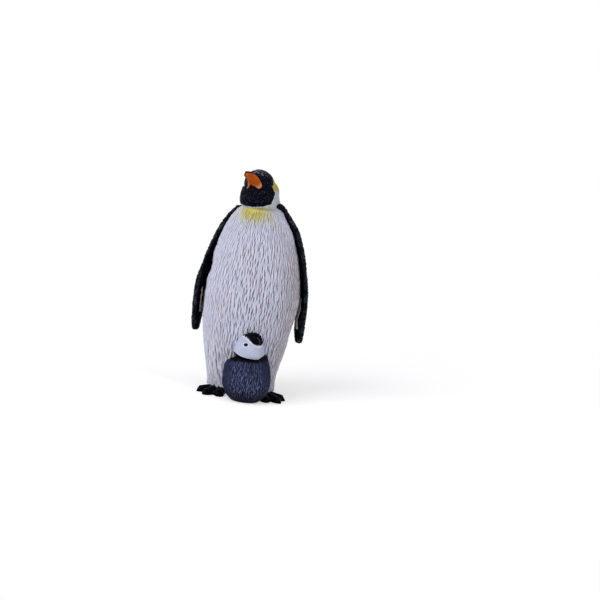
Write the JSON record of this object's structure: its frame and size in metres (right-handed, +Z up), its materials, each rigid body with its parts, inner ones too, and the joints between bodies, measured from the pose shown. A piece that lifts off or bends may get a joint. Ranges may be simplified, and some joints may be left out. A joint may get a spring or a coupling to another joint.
{
  "type": "penguin figurine",
  "caption": "Standing penguin figurine with a downy chick at its feet: carved belly and back halves, head, flippers, feet and wedge tail as separate glued mouldings.",
  "frame": {"origin": "on the table, under the middle of the figure's bounding box", "axes": "+Z up from the table to the crown, -Y the way the adult's belly and the chick face, +X to the adult's left"},
  "size_m": [0.0456, 0.0456, 0.089],
  "materials": {
    "belly_plumage": "white paint with a brown-grey wash in carved feather strokes",
    "back_plumage": "black paint with a grey dry-brushed highlight",
    "head_plumage": "black, white, yellow and orange paint",
    "flipper_plumage": "black paint outside, cream inside",
    "foot_skin": "black paint",
    "chick_down": "slate blue paint with light dry-brushed down",
    "chick_face": "white paint with a black cap, bill and eyes",
    "core": "bare moulding"
  },
  "bodies": {
    "root": {"belly_shell": "belly_plumage", "back_shell": "back_plumage", "body_core": "core", "head": "head_plumage", "left_flipper": "flipper_plumage", "right_flipper": "flipper_plumage", "left_foot": "foot_skin", "right_foot": "foot_skin", "tail": "back_plumage", "chick_body": "chick_down", "chick_head": "chick_face"}
  },
  "joints": []
}
